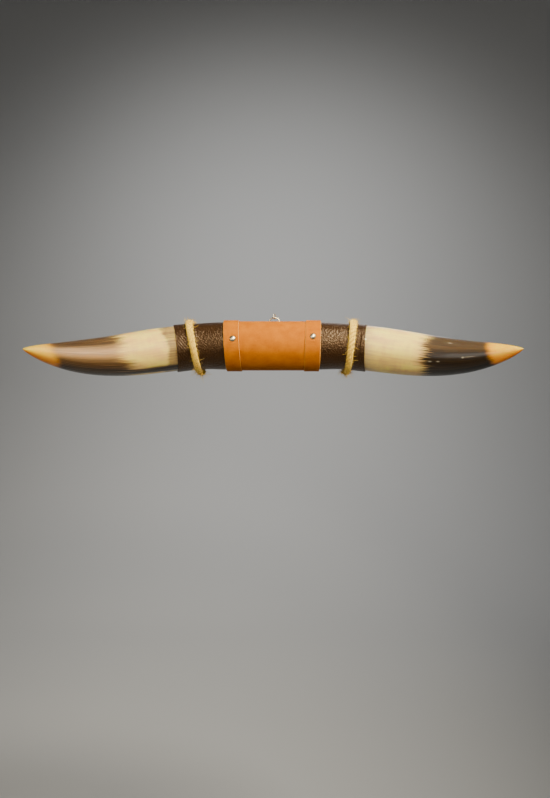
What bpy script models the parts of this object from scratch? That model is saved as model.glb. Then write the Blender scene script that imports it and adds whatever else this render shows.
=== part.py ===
"""A pair of polished horns on a leather-wrapped bar, hung on a wall from a ring at the back.

Metres, +Z up, -Y towards the viewer and +X to the viewer's right. The origin is the point where
a nail holds the hanging link. Each piece is modelled in the bar's own frame, which has its origin
on the bar's axis, halfway along it, and hangs from an empty of that name.
"""

import math

import bmesh
import bpy
from mathutils import Matrix, Vector

# Clearance between pieces that touch, and the distance within which a curve's caps are welded.
GAP = 0.00025
WELD = 0.000001

# The centreline is straight in the middle of the bar. Each half then curves forward on an arc,
# while it dips and rises again. Distances along it start at the middle, with the right positive.
STRAIGHT_HALF = 0.057
FORWARD_RADIUS = 0.240
DIP = 0.0138
DIP_RUN = 0.137

# The horns. Each swells a little past its sawn base, then tapers to its tip.
HORN_SEAT = 0.078
HORN_TIP = {"left": 0.248, "right": 0.249}
HORN_RADIUS = 0.0222
HORN_SWELL = 0.6
HORN_TAPER = (1.4, 0.76)
HORN_BLUNT_TIP = 0.0005
HORN_STATIONS = 18
HORN_CROWDING = 1.5
SQUARE_END = 0.001
ROUND_SIDES = 24

# The wooden core, the tenon at each of its ends, and the hollow of the horn beyond the tenon.
CORE_RADIUS = 0.02295
CORE_NECK = 0.050
CORE_SPOTS = (0.066, CORE_NECK, 0.025)
TENON_RADIUS = 0.0170
TENON_END_RADIUS = 0.0155
TENON_LENGTH = 0.032
TENON_GAP = 0.0004
HOLLOW_DEPTH = 0.060
HOLLOW_END_RADIUS = 0.0045

# The brown leather, from its left end to its right one, and its seam at the back.
SLEEVE_ENDS = (-0.1008, 0.0965)
SLEEVE_THICK = 0.0012
SLEEVE_STEPS = 16
SLEEVE_SEAM_ANGLE = 218
SEAM_WIDTH = 0.0004
CUT_MARGIN = 0.006

# The tan panel and the straps over its ends. Angles go round the bar from the front, by the top.
PANEL_HALF = 0.0478
PANEL_THICK = 0.00075
PANEL_SEAM_ANGLE = 232
STRAP_PLACE = {"left": -0.0411, "right": 0.0410}
STRAP_LEAN = {"left": (0.060, 0.0), "right": (0.036, -0.045)}
STRAP_WIDTH = 0.0155
STRAP_THICK = 0.00075
STRAP_START_ANGLE = 176
STRAP_LAP = 30
STRAP_RAMP = 16
BAND_STEPS = 48

# The ropes. The lean is how far the rope's plane slants along the bar, by height and by depth.
ROPE_RADIUS = 0.0033
ROPE_FLATNESS = 0.62
ROPE_PLACE = {"left": -0.0807, "right": 0.0801}
ROPE_LEAN = {"left": (0.108, -0.064), "right": (0.040, -0.016)}
ROPE_POINTS = 32
ROPE_GAP = 0.00045
ROPE_SIDES = 8
KNOT_RADIUS = 0.0046
KNOT_ANGLE = 212
KNOT_HALF_ANGLE = 16

# Dome-headed studs, and the small tack at the edge of the brown leather.
STUD_HEAD_RADIUS = 0.0028
STUD_HEAD_HEIGHT = 0.0016
STUD_PIN_RADIUS = 0.0007
STUD_PIN_LENGTH = 0.0075
STUD_FRONT = {"left": (-0.0400, 11), "right": (0.0400, 16.5)}
STUD_BACK = {"left": (-0.0411, 190), "right": (0.0410, 190)}
TACK_HEAD_RADIUS = 0.0012
TACK_HEAD_HEIGHT = 0.0006
TACK_PIN_RADIUS = 0.0004
TACK_PIN_LENGTH = 0.0045
TACK_PLACE = (0.0949, 16)
NAIL_STEPS = 14
DOME_STEPS = 5
HOLE_SIDES = 12

# The hanging gear: screw eye, ring and link, a little to the right of the bar's middle.
GEAR_SIDE = 0.00175
EYE_ANGLE = 138.7
EYE_REACH = 0.0305
EYE_RADIUS = 0.00265
EYE_WIRE = 0.00065
EYE_TURNS = (25, 317.5)
EYE_STEPS = 16
EYE_SHANK = 0.0185
RING_RADIUS = 0.0057
RING_WIRE = 0.0007
RING_STEPS = 28
LINK_HALF_WIDTH = 0.00205
LINK_HALF_HEIGHT = 0.0025
LINK_WIRE = 0.00045
LINK_TURN = 50
LINK_POINTS = 20
WIRE_SIDES = 8


def make_collection(name):
    made = bpy.data.collections.new(name)
    bpy.context.scene.collection.children.link(made)
    return made


for leftover in list(bpy.data.objects):
    bpy.data.objects.remove(leftover)
parts = make_collection("mounted_horn_pair")
cutters = make_collection("cutters")


# Lines and radii that several pieces share.


def smooth_step(share):
    share = min(max(share, 0.0), 1.0)
    return share * share * (3 - 2 * share)


def centreline(along):
    """The point this far along the centreline, in the bar's frame."""
    run = max(abs(along) - STRAIGHT_HALF, 0.0)
    turn = run / FORWARD_RADIUS
    out = min(abs(along), STRAIGHT_HALF) + FORWARD_RADIUS * math.sin(turn)
    forward = FORWARD_RADIUS * (1 - math.cos(turn))
    down = DIP * (1 - math.cos(math.pi * run / DIP_RUN)) / 2
    return Vector((math.copysign(out, along), -forward, -down))


def frame_at(along):
    """The centreline's point there, and the directions to its front and its top."""
    step = 0.0005
    right = (centreline(along + step) - centreline(along - step)).normalized()
    front = right.cross(Vector((0, 0, 1))).normalized()
    return centreline(along), front, front.cross(right)


def place_round(along, angle, radius):
    """A point at this angle and distance round the centreline, and the direction out to it."""
    middle, front, top = frame_at(along)
    turn = math.radians(angle)
    out = front * math.cos(turn) + top * math.sin(turn)
    return middle + out * radius, out


def side_of(along):
    return "left" if along < 0 else "right"


def horn_radius(along):
    share = (abs(along) - HORN_SEAT) / (HORN_TIP[side_of(along)] - HORN_SEAT)
    grow, shrink = HORN_TAPER
    return HORN_RADIUS * (1 + HORN_SWELL * share) * (1 - share**grow) ** shrink


def wrapped_radius(along):
    """The radius of what the brown leather lies on: the core, then the base of a horn."""
    if abs(along) > HORN_SEAT:
        return horn_radius(along)
    neck = smooth_step((abs(along) - CORE_NECK) / (HORN_SEAT - CORE_NECK))
    return CORE_RADIUS + (HORN_RADIUS - CORE_RADIUS) * neck


def sleeve_outside(along):
    return wrapped_radius(along) + GAP + SLEEVE_THICK


PANEL_INSIDE = CORE_RADIUS + 2 * GAP + SLEEVE_THICK
STRAP_INSIDE = PANEL_INSIDE + PANEL_THICK + GAP


# Ways of making shapes.


def add_object(name, data, collection, parent):
    made = bpy.data.objects.new(name, data)
    collection.objects.link(made)
    made.parent = parent
    if collection is cutters:
        made.hide_render = True
        made.display_type = "WIRE"
    return made


def make_empty(name, location, parent=None):
    made = add_object(name, None, parts, parent)
    made.location = location
    return made


def finish(piece, material, sharp_angle=40):
    piece.data.materials.clear()
    piece.data.materials.append(material)
    piece.data.shade_smooth()
    piece.data.set_sharp_from_angle(angle=math.radians(sharp_angle))
    return piece


def make_material(name, colour, roughness, metallic=0.0):
    made = bpy.data.materials.new(name)
    made.use_nodes = True
    shader = made.node_tree.nodes["Principled BSDF"]
    shader.inputs["Base Color"].default_value = (*colour, 1)
    shader.inputs["Roughness"].default_value = roughness
    shader.inputs["Metallic"].default_value = metallic
    return made


def mesh_of(curve, name):
    """The closed mesh that a curve makes, with its caps welded on. The curve is removed."""
    guide = bpy.data.objects.new(name, curve)
    parts.objects.link(guide)
    seen = guide.evaluated_get(bpy.context.evaluated_depsgraph_get())
    mesh = bpy.data.meshes.new_from_object(seen)
    bpy.data.objects.remove(guide)
    bpy.data.curves.remove(curve)
    mesh.name = name
    work = bmesh.new()
    work.from_mesh(mesh)
    bmesh.ops.remove_doubles(work, verts=work.verts, dist=WELD)
    bmesh.ops.recalc_face_normals(work, faces=work.faces)
    work.to_mesh(mesh)
    work.free()
    return mesh


def rod_mesh(name, stations, sides, closed=False):
    """A round rod through the stations, each a point and the radius there."""
    curve = bpy.data.curves.new(name, "CURVE")
    curve.dimensions = "3D"
    curve.fill_mode = "FULL"
    curve.bevel_depth = 1
    curve.bevel_resolution = sides // 2 - 2
    curve.use_fill_caps = not closed
    line = curve.splines.new("POLY")
    line.points.add(len(stations) - 1)
    line.use_cyclic_u = closed
    for point, (place, radius) in zip(line.points, stations):
        point.co = (*place, 1)
        point.radius = radius
    return mesh_of(curve, name)


def band_mesh(name, inside, thick, half_length, start, lap, ramp):
    """A sheet wrapped round the bar from a start angle, its end lapped over its start.

    A negative lap leaves a butt seam that wide, in degrees.
    """
    turns = [start + step * (360 + lap) / BAND_STEPS for step in range(BAND_STEPS + 1)]
    lifts = [smooth_step((turn - start - 360 + ramp) / ramp) if lap > 0 else 0 for turn in turns]
    radii = [inside + lift * (thick + GAP) for lift in lifts]
    inner = [(radius, turn) for radius, turn in zip(radii, turns)]
    outer = [(radius + thick, turn) for radius, turn in zip(radii, turns)]
    curve = bpy.data.curves.new(name, "CURVE")
    curve.dimensions = "2D"
    curve.fill_mode = "BOTH"
    curve.extrude = half_length
    line = curve.splines.new("POLY")
    line.points.add(2 * len(turns) - 1)
    line.use_cyclic_u = True
    for point, (radius, turn) in zip(line.points, inner + outer[::-1]):
        angle = math.radians(turn)
        point.co = (-radius * math.cos(angle), radius * math.sin(angle), 0, 1)
    mesh = mesh_of(curve, name)
    # The outline's own axes become the bar's front-to-back, height and length.
    mesh.transform(Matrix(((0, 0, -1, 0), (1, 0, 0, 0), (0, 1, 0, 0), (0, 0, 0, 1))))
    work = bmesh.new()
    work.from_mesh(mesh)
    bmesh.ops.recalc_face_normals(work, faces=work.faces)
    work.to_mesh(mesh)
    work.free()
    return mesh


def box_cutter(name, size, matrix, parent):
    mesh = bpy.data.meshes.new(name)
    work = bmesh.new()
    bmesh.ops.create_cube(work, size=1, matrix=Matrix.Diagonal((*size, 1)))
    work.to_mesh(mesh)
    work.free()
    made = add_object(name, mesh, cutters, parent)
    made.matrix_local = matrix
    return made


def boolean(piece, other, operation="DIFFERENCE"):
    change = piece.modifiers.new(other.name, "BOOLEAN")
    change.operation = operation
    change.solver = "EXACT"
    change.object = other


def turned(name, profile, steps, material, parent):
    """A solid turned about its own Z from a profile that runs down its outer side."""
    mesh = bpy.data.meshes.new(name)
    mesh.from_pydata([(x, 0, z) for x, z in profile], [(i, i + 1) for i in range(len(profile) - 1)], [])
    made = add_object(name, mesh, parts, parent)
    turn = made.modifiers.new("turn", "SCREW")
    turn.axis = "Z"
    turn.steps = steps
    turn.render_steps = steps
    turn.use_merge_vertices = True
    turn.merge_threshold = WELD
    turn.use_smooth_shade = True
    made.data.materials.append(material)
    return made


# Materials.

horn_material = {
    "left": make_material("horn_cream_and_brown", (0.36, 0.26, 0.17), 0.25),
    "right": make_material("horn_cream_and_dark", (0.33, 0.22, 0.12), 0.25),
}
wood = make_material("turned_wood", (0.36, 0.22, 0.11), 0.6)
brown_leather = make_material("brown_leather", (0.075, 0.032, 0.012), 0.45)
tan_leather = make_material("tan_leather", (0.62, 0.24, 0.045), 0.5)
jute = make_material("jute", (0.72, 0.52, 0.17), 0.9)
brass = make_material("brass", (0.83, 0.68, 0.36), 0.25, 1.0)


# The bar's frame hangs from the nail, through the link, the ring and the screw eye.

eye_middle = Vector((
    GEAR_SIDE,
    -EYE_REACH * math.cos(math.radians(EYE_ANGLE)),
    EYE_REACH * math.sin(math.radians(EYE_ANGLE)),
))
ring_pivot = eye_middle + Vector((0, 0, EYE_RADIUS - EYE_WIRE - RING_WIRE - GAP))
link_pivot = ring_pivot + Vector((0, 0, 2 * RING_RADIUS))
link_middle = Vector((0, 0, LINK_HALF_HEIGHT - RING_WIRE - GAP - LINK_WIRE))
nail = link_pivot + link_middle + Vector((0, 0, LINK_HALF_HEIGHT - LINK_WIRE))
bar_axis = make_empty("bar_axis", -nail)


# The horns: each a curved cone, with a hollow bored up its base for the core's tenon.


def stations_along(first, last, count, radius_at):
    """Stations from one distance to another, closer together towards the last."""
    shares = [1 - (1 - step / count) ** HORN_CROWDING for step in range(count)]
    spots = [first + (last - first) * share for share in shares]
    # A short first step keeps the sawn base square to the centreline.
    spots.insert(1, first + math.copysign(SQUARE_END, first))
    spots.append(last)
    return [(centreline(spot), radius_at(spot)) for spot in spots]


def tenon_stations(hand, clearance):
    """The tenon's stations outwards from the shoulder, with a clearance added all round."""
    return [
        (
            centreline(hand * (HORN_SEAT + share * (TENON_LENGTH + clearance))),
            TENON_RADIUS + share * (TENON_END_RADIUS - TENON_RADIUS) + clearance,
        )
        for share in (0, 0.5, 1)
    ]


def make_horn(side):
    hand = -1 if side == "left" else 1
    tip = HORN_TIP[side] - HORN_BLUNT_TIP
    stations = stations_along(hand * (HORN_SEAT + GAP), hand * tip, HORN_STATIONS, horn_radius)
    horn = add_object("horn_" + side, rod_mesh("horn_" + side, stations, ROUND_SIDES), parts, bar_axis)
    hollow = [
        (centreline(hand * (HORN_SEAT - CUT_MARGIN / 2)), TENON_RADIUS + TENON_GAP),
        *tenon_stations(hand, TENON_GAP),
        (centreline(hand * (HORN_SEAT + HOLLOW_DEPTH)), HOLLOW_END_RADIUS),
    ]
    name = "hollow_" + side
    boolean(horn, add_object(name, rod_mesh(name, hollow, ROUND_SIDES), cutters, bar_axis))
    return finish(horn, horn_material[side])


horns = {side: make_horn(side) for side in ("left", "right")}


# The core: a bar turned down at each end to a shoulder and a tenon.


def make_core():
    shoulder = HORN_SEAT - GAP
    body = [shoulder, shoulder - SQUARE_END, *CORE_SPOTS]
    halves = {}
    for hand in (-1, 1):
        bar = [(centreline(hand * spot), wrapped_radius(hand * spot)) for spot in body]
        halves[hand] = tenon_stations(hand, 0)[::-1] + bar
    stations = halves[-1] + [(centreline(0), CORE_RADIUS)] + halves[1][::-1]
    return finish(add_object("core", rod_mesh("core", stations, ROUND_SIDES), parts, bar_axis), wood)


core = make_core()


# The brown leather sleeve, butted along a seam at the back.


def make_sleeve():
    first, last = SLEEVE_ENDS
    spots = [first + (last - first) * step / SLEEVE_STEPS for step in range(SLEEVE_STEPS + 1)]
    outside = [(centreline(spot), sleeve_outside(spot)) for spot in spots]
    sleeve = add_object(
        "leather_sleeve", rod_mesh("leather_sleeve", outside, ROUND_SIDES), parts, bar_axis
    )
    longer = [first - CUT_MARGIN, *spots, last + CUT_MARGIN]
    inside = [(centreline(spot), wrapped_radius(spot) + GAP) for spot in longer]
    bore = rod_mesh("sleeve_bore", inside, ROUND_SIDES)
    boolean(sleeve, add_object("sleeve_bore", bore, cutters, bar_axis))
    turn = math.radians(SLEEVE_SEAM_ANGLE)
    out = Vector((0, -math.cos(turn), math.sin(turn)))
    slit = Matrix.Translation(out * CORE_RADIUS) @ out.to_track_quat("Z", "X").to_matrix().to_4x4()
    size = (last - first + 4 * CUT_MARGIN, SEAM_WIDTH, 3 * CUT_MARGIN)
    boolean(sleeve, box_cutter("sleeve_seam", size, slit, bar_axis))
    return finish(sleeve, brown_leather)


sleeve = make_sleeve()


# The tan panel, butted at the back, and the two straps over its ends, lapped at the back.


def make_strap(side):
    name = "strap_" + side
    by_height, by_depth = STRAP_LEAN[side]
    hand = -1 if side == "left" else 1
    mesh = band_mesh(
        name, STRAP_INSIDE, STRAP_THICK, STRAP_WIDTH, STRAP_START_ANGLE, STRAP_LAP, STRAP_RAMP
    )
    strap = add_object(name, mesh, parts, bar_axis)
    strap.location = (STRAP_PLACE[side], 0, 0)
    # The strap keeps what lies between two slanting cuts, the width of the strap apart.
    lean = Matrix.Identity(4)
    lean[0][2] = hand * by_height
    lean[0][1] = -by_depth
    across = 3 * STRAP_INSIDE
    slab = box_cutter(name + "_edges", (STRAP_WIDTH, across, across), Matrix.Identity(4), bar_axis)
    slab.data.transform(lean)
    slab.location = strap.location
    boolean(strap, slab, "INTERSECT")
    return finish(strap, tan_leather)


def make_panel():
    seam = math.degrees(SEAM_WIDTH / PANEL_INSIDE)
    mesh = band_mesh("centre_panel", PANEL_INSIDE, PANEL_THICK, PANEL_HALF, PANEL_SEAM_ANGLE, -seam, 1)
    return finish(add_object("centre_panel", mesh, parts, bar_axis), tan_leather)


panel = make_panel()
straps = {side: make_strap(side) for side in ("left", "right")}


# The ropes: a turn round each end of the leather, thicker at the knot behind.


def make_rope(side):
    """A tube round the sleeve, pressed flatter against it than it is wide, except at the knot."""
    by_height, by_depth = ROPE_LEAN[side]
    hand = -1 if side == "left" else 1
    stations = []
    presses = []
    for step in range(ROPE_POINTS):
        angle = 360 * step / ROPE_POINTS
        turn = math.radians(angle)
        knot = smooth_step(1 - abs(angle - KNOT_ANGLE) / KNOT_HALF_ANGLE)
        radius = ROPE_RADIUS + (KNOT_RADIUS - ROPE_RADIUS) * knot
        flatness = ROPE_FLATNESS + (1 - ROPE_FLATNESS) * knot
        height = ROPE_GAP + radius * flatness
        reach = sleeve_outside(ROPE_PLACE[side]) + height
        shift = by_height * math.sin(turn) - by_depth * math.cos(turn)
        along = ROPE_PLACE[side] + hand * reach * shift
        middle, out = place_round(along, angle, sleeve_outside(along) + height)
        stations.append((middle, radius))
        presses.append((middle, out, flatness))
    name = "rope_" + side
    mesh = rod_mesh(name, stations, ROPE_SIDES, closed=True)
    for point in mesh.vertices:
        middle, out, flatness = min(presses, key=lambda press: (press[0] - point.co).length)
        point.co -= out * (point.co - middle).dot(out) * (1 - flatness)
    return finish(add_object(name, mesh, parts, bar_axis), jute)


ropes = {side: make_rope(side) for side in ("left", "right")}


# The studs and the tack: a domed head on a pin, each in its own drilled hole.


def nail_profile(head_radius, head_height, pin_radius, pin_length):
    """Down the outside of a domed nail: the crown, the rim, the underside and the pin."""
    curve = (head_radius**2 + head_height**2) / (2 * head_height)
    half = math.asin(head_radius / curve)
    leans = [half * step / DOME_STEPS for step in range(DOME_STEPS)]
    dome = [(curve * math.sin(lean), head_height - curve * (1 - math.cos(lean))) for lean in leans]
    rim = (head_radius, 0.04 * head_height)
    underside = (0.98 * head_radius, 0)
    pin = [(pin_radius, 0), (pin_radius, 0.3 * pin_radius - pin_length), (0, -pin_length)]
    return [*dome, rim, underside, *pin]


def nail_in(name, place, surface, sizes, through):
    """A nail at a distance along the bar and an angle round it, and its hole in each piece."""
    along, angle = place
    foot, out = place_round(along, angle, surface + GAP)
    nail = turned(name, nail_profile(*sizes), NAIL_STEPS, brass, bar_axis)
    nail.location = foot
    nail.rotation_mode = "QUATERNION"
    nail.rotation_quaternion = out.to_track_quat("Z", "X")
    bore_hole(name + "_hole", foot, out, sizes[2] + GAP, sizes[3] + GAP, through)


def bore_hole(name, mouth, out, radius, depth, through):
    stations = [(mouth + out * CUT_MARGIN, radius), (mouth - out * depth, radius)]
    cutter = add_object(name, rod_mesh(name, stations, HOLE_SIDES), cutters, bar_axis)
    for piece in through:
        boolean(piece, cutter)


stud_sizes = (STUD_HEAD_RADIUS, STUD_HEAD_HEIGHT, STUD_PIN_RADIUS, STUD_PIN_LENGTH)
tack_sizes = (TACK_HEAD_RADIUS, TACK_HEAD_HEIGHT, TACK_PIN_RADIUS, TACK_PIN_LENGTH)
strap_outside = STRAP_INSIDE + STRAP_THICK
for side in ("left", "right"):
    layers = (straps[side], panel, sleeve, core)
    nail_in("stud_front_" + side, STUD_FRONT[side], strap_outside, stud_sizes, layers)
    nail_in("stud_back_" + side, STUD_BACK[side], strap_outside + STRAP_THICK + GAP, stud_sizes, layers)
nail_in("edge_tack", TACK_PLACE, sleeve_outside(TACK_PLACE[0]), tack_sizes, (sleeve, horns["right"]))


# The hanging gear: a screw eye in the back, a ring loose in the eye, and a link loose on the ring.


def make_screw_eye():
    """A wire bent round into an eye, with its shank running down its own -X into the core."""
    shank = [(-EYE_SHANK, 0), (-EYE_RADIUS - 2.2 * EYE_WIRE, 0)]
    first, last = EYE_TURNS
    turns = [first + (last - first) * step / EYE_STEPS for step in range(EYE_STEPS + 1)]
    loop = [
        (-EYE_RADIUS * math.cos(math.radians(turn)), EYE_RADIUS * math.sin(math.radians(turn)))
        for turn in turns
    ]
    stations = [(Vector((0, along, across)), EYE_WIRE) for along, across in shank + loop]
    eye = add_object("screw_eye", rod_mesh("screw_eye", stations, WIRE_SIDES), parts, bar_axis)
    eye.location = eye_middle
    eye.rotation_euler = (math.radians(180 - EYE_ANGLE), 0, 0)
    out = Vector((0, -math.cos(math.radians(EYE_ANGLE)), math.sin(math.radians(EYE_ANGLE))))
    bore_hole(
        "eye_hole", eye_middle - out * EYE_RADIUS * 2, out, EYE_WIRE + GAP, EYE_SHANK, (panel, sleeve, core)
    )
    return finish(eye, brass)


def make_ring():
    """A wire ring standing on the pivot, the lowest point of its wire's centre."""
    bpy.ops.mesh.primitive_torus_add(
        major_segments=RING_STEPS,
        minor_segments=WIRE_SIDES,
        major_radius=RING_RADIUS,
        minor_radius=RING_WIRE,
    )
    ring = bpy.context.object
    ring.name = "hanging_ring"
    for holder in list(ring.users_collection):
        holder.objects.unlink(ring)
    parts.objects.link(ring)
    stand = Matrix.Translation((0, 0, RING_RADIUS)) @ Matrix.Rotation(math.radians(90), 4, "X")
    ring.data.transform(stand)
    ring.parent = bar_axis
    ring.location = ring_pivot
    return finish(ring, brass)


def make_link():
    """An oval link, turned part way from the ring's plane, with its pivot in the ring's wire."""
    stations = []
    for step in range(LINK_POINTS):
        turn = math.radians(360 * step / LINK_POINTS)
        across = LINK_HALF_WIDTH * math.cos(turn)
        twist = math.radians(LINK_TURN)
        flat = Vector((across * math.cos(twist), across * math.sin(twist), 0))
        up = Vector((0, 0, LINK_HALF_HEIGHT * math.sin(turn)))
        stations.append((link_middle + flat + up, LINK_WIRE))
    mesh = rod_mesh("hanging_link", stations, WIRE_SIDES, closed=True)
    link = add_object("hanging_link", mesh, parts, bar_axis)
    link.location = link_pivot
    return finish(link, brass)


make_screw_eye()
make_ring()
make_link()
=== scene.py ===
"""The looks of a pair of polished horns on a leather-wrapped bar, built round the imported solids.

Metres, +Z up, -Y towards the viewer and +X to the viewer's right. Most pieces are made on the bar
as if it were straight, and a tree of nodes then bends them to the curve that the real bar follows.
"""

import math
from functools import partial
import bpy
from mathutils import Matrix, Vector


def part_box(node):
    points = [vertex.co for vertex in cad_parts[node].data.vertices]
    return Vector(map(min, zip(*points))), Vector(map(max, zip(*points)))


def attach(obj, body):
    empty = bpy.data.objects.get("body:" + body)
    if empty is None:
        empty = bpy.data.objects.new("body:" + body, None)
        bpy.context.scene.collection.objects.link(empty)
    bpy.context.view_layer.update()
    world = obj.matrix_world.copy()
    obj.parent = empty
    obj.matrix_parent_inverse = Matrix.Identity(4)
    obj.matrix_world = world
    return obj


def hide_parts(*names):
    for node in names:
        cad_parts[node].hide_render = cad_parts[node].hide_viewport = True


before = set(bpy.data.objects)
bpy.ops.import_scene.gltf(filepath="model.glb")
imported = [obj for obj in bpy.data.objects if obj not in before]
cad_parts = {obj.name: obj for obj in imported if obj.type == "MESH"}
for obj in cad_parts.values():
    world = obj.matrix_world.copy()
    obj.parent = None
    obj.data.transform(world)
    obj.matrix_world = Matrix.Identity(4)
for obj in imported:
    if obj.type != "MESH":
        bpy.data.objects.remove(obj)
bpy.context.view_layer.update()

from types import SimpleNamespace

import bmesh
import bpy
from mathutils import Matrix, Vector


# The studio: a camera square to the bar and a little below it, a pale floor that sweeps up behind,
# a soft key light high in front on the right, weaker ones in front, on the left and behind, and one
# for the backdrop.

panel_low, panel_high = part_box("centre_panel")
BAR_AXIS = (panel_low + panel_high) / 2
CAMERA_FROM_BAR = Vector((0.00228, -0.6115, -0.05494))
FLOOR_BELOW = 0.75
FLOOR_HALF_WIDTH = 4.0
SWEEP_START = 1.1
SWEEP_RADIUS = 0.9
SWEEP_HEIGHT = 3.0


def link_object(name, data):
    made = bpy.data.objects.new(name, data)
    bpy.context.scene.collection.objects.link(made)
    return made


def soft_light(name, direction, distance, size, power, colour=(1, 1, 1), spread=180, aim=BAR_AXIS):
    """A square soft light, a distance from the bar in a direction, that shines on what it aims at."""
    data = bpy.data.lights.new(name, "AREA")
    data.shape = "SQUARE"
    data.size = size
    data.energy = power
    data.color = colour
    data.spread = math.radians(spread)
    lamp = link_object(name, data)
    lamp.location = BAR_AXIS + Vector(direction).normalized() * distance
    away = lamp.location - Vector(aim)
    lamp.rotation_euler = away.to_track_quat("Z", "Y").to_euler()


def plain_material(name, colour, roughness):
    """A new material, its node tree and its Principled BSDF."""
    made = bpy.data.materials.new(name)
    made.use_nodes = True
    shader = made.node_tree.nodes["Principled BSDF"]
    shader.inputs["Base Color"].default_value = (*colour, 1)
    shader.inputs["Roughness"].default_value = roughness
    return made, made.node_tree, shader


def make_floor():
    """A floor that curves up into a backdrop, as one swept strip."""
    low = BAR_AXIS.z - FLOOR_BELOW
    profile = [(-FLOOR_HALF_WIDTH, low)]
    for step in range(17):
        turn = math.radians(90 * step / 16)
        profile.append((
            SWEEP_START + SWEEP_RADIUS * math.sin(turn),
            low + SWEEP_RADIUS * (1 - math.cos(turn)),
        ))
    profile.append((SWEEP_START + SWEEP_RADIUS, low + SWEEP_HEIGHT))
    points = [(x, y, z) for y, z in profile for x in (-FLOOR_HALF_WIDTH, FLOOR_HALF_WIDTH)]
    faces = [(i, i + 1, i + 3, i + 2) for i in range(0, len(points) - 2, 2)]
    mesh = bpy.data.meshes.new("floor")
    mesh.from_pydata(points, [], faces)
    mesh.shade_smooth()
    mesh.materials.append(plain_material("pale_floor", (0.62, 0.62, 0.61), 0.9)[0])
    return link_object("floor", mesh)


camera_data = bpy.data.cameras.new("camera")
camera_data.lens = 26.62
camera_data.sensor_width = 36
camera_data.clip_start = 0.01
camera = link_object("camera", camera_data)
camera.location = BAR_AXIS + CAMERA_FROM_BAR
camera.rotation_euler = (math.radians(90), 0, 0)
bpy.context.scene.camera = camera

make_floor()
soft_light("key", (0.46, -0.46, 0.76), 1.0, 0.24, 3.6, (1, 0.94, 0.80), spread=75)
soft_light("front", (0.30, -0.88, 0.36), 0.7, 0.12, 0.9, (1, 0.88, 0.72), spread=75)
soft_light("fill", (-0.5, -0.8, 0.1), 1.2, 0.6, 1.1, (1, 0.95, 0.86), spread=90)
soft_light("behind", (0.2, 0.9, 0.45), 1.2, 0.6, 0.5, spread=90)
soft_light("backdrop", (0, 0.5, 1), 1.2, 1.2, 8, spread=110, aim=BAR_AXIS + Vector((0, 2.0, 0)))
world = bpy.data.worlds.new("studio")
world.use_nodes = True
world.node_tree.nodes["Background"].inputs["Color"].default_value = (0.95, 0.94, 0.92, 1)
world.node_tree.nodes["Background"].inputs["Strength"].default_value = 0.10
bpy.context.scene.world = world


# The core: a bar of turned wood inside everything else, with a tenon in each horn. Only its
# solid is shown, with the grain of a light hardwood running along it.


class Field:
    """A number or vector in a node tree. Working with it adds the nodes that do the same sum."""

    def __init__(self, socket):
        self.socket = socket
        self.tree = socket.id_data

    def node(self, kind, inputs, output=0, **properties):
        return Field(add(self.tree, kind, inputs, **properties).outputs[output])

    def math(self, operation, *others):
        inputs = dict(enumerate((self, *others)))
        return self.node("ShaderNodeMath", inputs, operation=operation)

    def vector(self, operation, *others, output=0):
        inputs = dict(enumerate((self, *others)))
        return self.node("ShaderNodeVectorMath", inputs, output, operation=operation)

    def __add__(self, other):
        return self.math("ADD", other)

    def __sub__(self, other):
        return self.math("SUBTRACT", other)

    def __mul__(self, other):
        return self.math("MULTIPLY", other)

    def __truediv__(self, other):
        return self.math("DIVIDE", other)

    def __pow__(self, other):
        return self.math("POWER", other)

    def __neg__(self):
        return self.math("MULTIPLY", -1)

    __radd__ = __add__
    __rmul__ = __mul__

    def __rsub__(self, other):
        return -self + other

    def __rtruediv__(self, other):
        return self**-1 * other

    def times(self, scales):
        """This vector with each of its parts scaled."""
        return self.vector("MULTIPLY", scales)

    def scaled(self, factor):
        return self.node("ShaderNodeVectorMath", {0: self, "Scale": factor}, operation="SCALE")

    def parts(self):
        made = add(self.tree, "ShaderNodeSeparateXYZ", {0: self})
        return [Field(socket) for socket in made.outputs]

    def rise(self, low, high):
        """From 0 at low to 1 at high, smoothly. It falls instead where low is the higher."""
        inputs = {0: self, 1: low, 2: high, 3: 0.0, 4: 1.0}
        return self.node("ShaderNodeMapRange", inputs, interpolation_type="SMOOTHSTEP")

    def bump_at(self, middle, width):
        """A smooth hump, 1 at the middle and dying out about a width from it."""
        off = (self - middle) / width
        return (-(off * off)).math("EXPONENT")

    def noise(self, scale=1.0, detail=2.0, roughness=0.5, distortion=0.0):
        """Cloudy noise from 0 to 1 at this place."""
        inputs = {
            "Vector": self,
            "Scale": scale,
            "Detail": detail,
            "Roughness": roughness,
            "Distortion": distortion,
        }
        return self.node("ShaderNodeTexNoise", inputs)

    def cells(self, feature):
        """The distance into the nearest of many rounded cells."""
        return self.node("ShaderNodeTexVoronoi", {"Vector": self, "Scale": 1.0}, feature=feature)

    def colour_to(self, low, high):
        """The colour low where this is 0, blending to high where it is 1."""
        return self.node("ShaderNodeMix", {0: self, 6: low, 7: high}, 2, data_type="RGBA")


def add(tree, kind, inputs, **properties):
    """A node of this kind, with its properties set and its inputs given as values or links."""
    made = tree.nodes.new(kind)
    for name, value in properties.items():
        setattr(made, name, value)
    for name, value in inputs.items():
        socket = made.inputs[name]
        value = value.socket if isinstance(value, Field) else value
        if isinstance(value, bpy.types.NodeSocket):
            tree.links.new(value, socket)
        elif socket.type == "RGBA" and len(value) == 3:
            socket.default_value = (*value, 1)
        else:
            socket.default_value = value
    return made


def field(tree, kind, output=0, inputs=None, **properties):
    """What a new node gives."""
    return Field(add(tree, kind, inputs or {}, **properties).outputs[output])


def combined(x, y, z):
    return x.node("ShaderNodeCombineXYZ", {0: x, 1: y, 2: z})


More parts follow.
